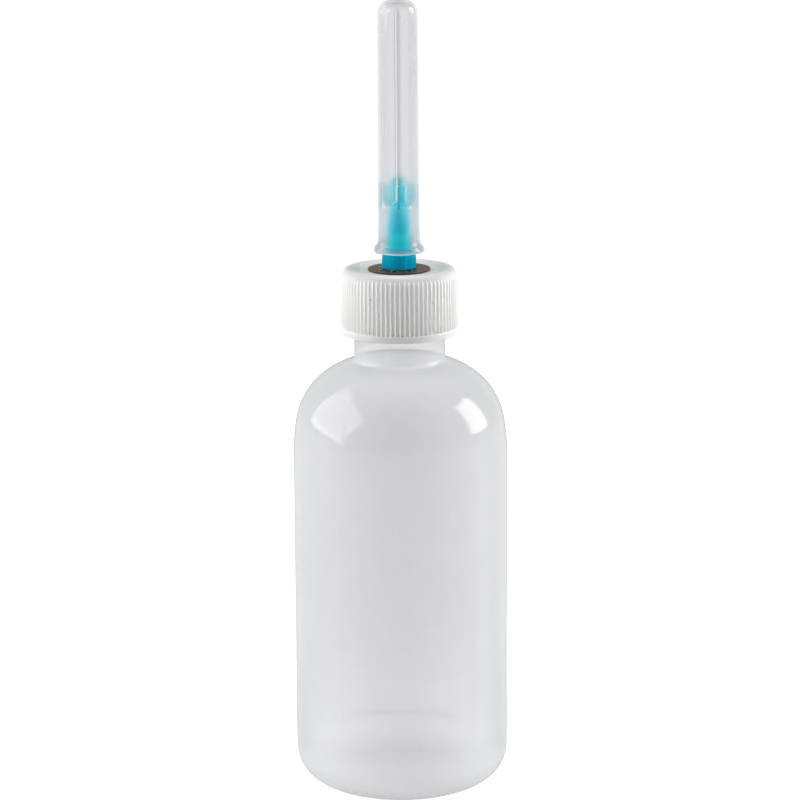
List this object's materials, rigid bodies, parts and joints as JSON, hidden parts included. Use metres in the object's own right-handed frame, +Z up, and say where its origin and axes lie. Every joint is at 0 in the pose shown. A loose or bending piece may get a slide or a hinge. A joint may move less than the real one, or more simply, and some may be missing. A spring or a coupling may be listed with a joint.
{
  "type": "glue applicator bottle",
  "caption": "Translucent round squeeze bottle with a ribbed screw cap, a star washer, a push-on dispensing needle and a long closed needle sheath.",
  "frame": {"origin": "centre of the plane the bottle stands on", "axes": "+Z up along the axis of the bottle, needle and sheath; -Y is the front"},
  "size_m": [0.039, 0.039, 0.1442],
  "materials": {
    "bottle_plastic": "milky translucent natural polyethylene, soft gloss",
    "cap_plastic": "white moulded, satin",
    "liner_foam": "white closed-cell foam",
    "plated_brass": "nickel plated",
    "spring_steel": "bronze-grey phosphated stamping",
    "hub_plastic": "translucent teal blue moulded",
    "cannula_steel": "drawn stainless tube",
    "epoxy": "clear cured adhesive",
    "sheath_plastic": "frosted translucent polypropylene"
  },
  "bodies": {
    "bottle": {"bottle": "bottle_plastic"},
    "liner": {"cap_liner": "liner_foam"},
    "cap": {"screw_cap": "cap_plastic", "luer_stem": "plated_brass", "star_washer": "spring_steel"},
    "needle": {"needle_hub": "hub_plastic", "needle_cannula": "cannula_steel", "needle_bond": "epoxy"},
    "sheath": {"needle_sheath": "sheath_plastic"}
  },
  "joints": [
    {"name": "cap_lift", "type": "slide", "parent": "bottle", "child": "liner", "axis": [0, 0, 1], "range_m": [0, 0.0143]},
    {"name": "cap_turn", "type": "hinge", "parent": "liner", "child": "cap", "pos_m": [0, 0, 0.0938], "axis": [0, 0, 1], "range_deg": [0, 1620]},
    {"name": "needle_pull", "type": "slide", "parent": "cap", "child": "needle", "axis": [0, 0, 1], "range_m": [0, 0.012]},
    {"name": "sheath_pull", "type": "slide", "parent": "needle", "child": "sheath", "axis": [0, 0, 1], "range_m": [0, 0.05]}
  ],
  "couplings": [
    {"joint": "cap_lift", "follows": "cap_turn", "m_per_rad": 0.00050532}
  ]
}
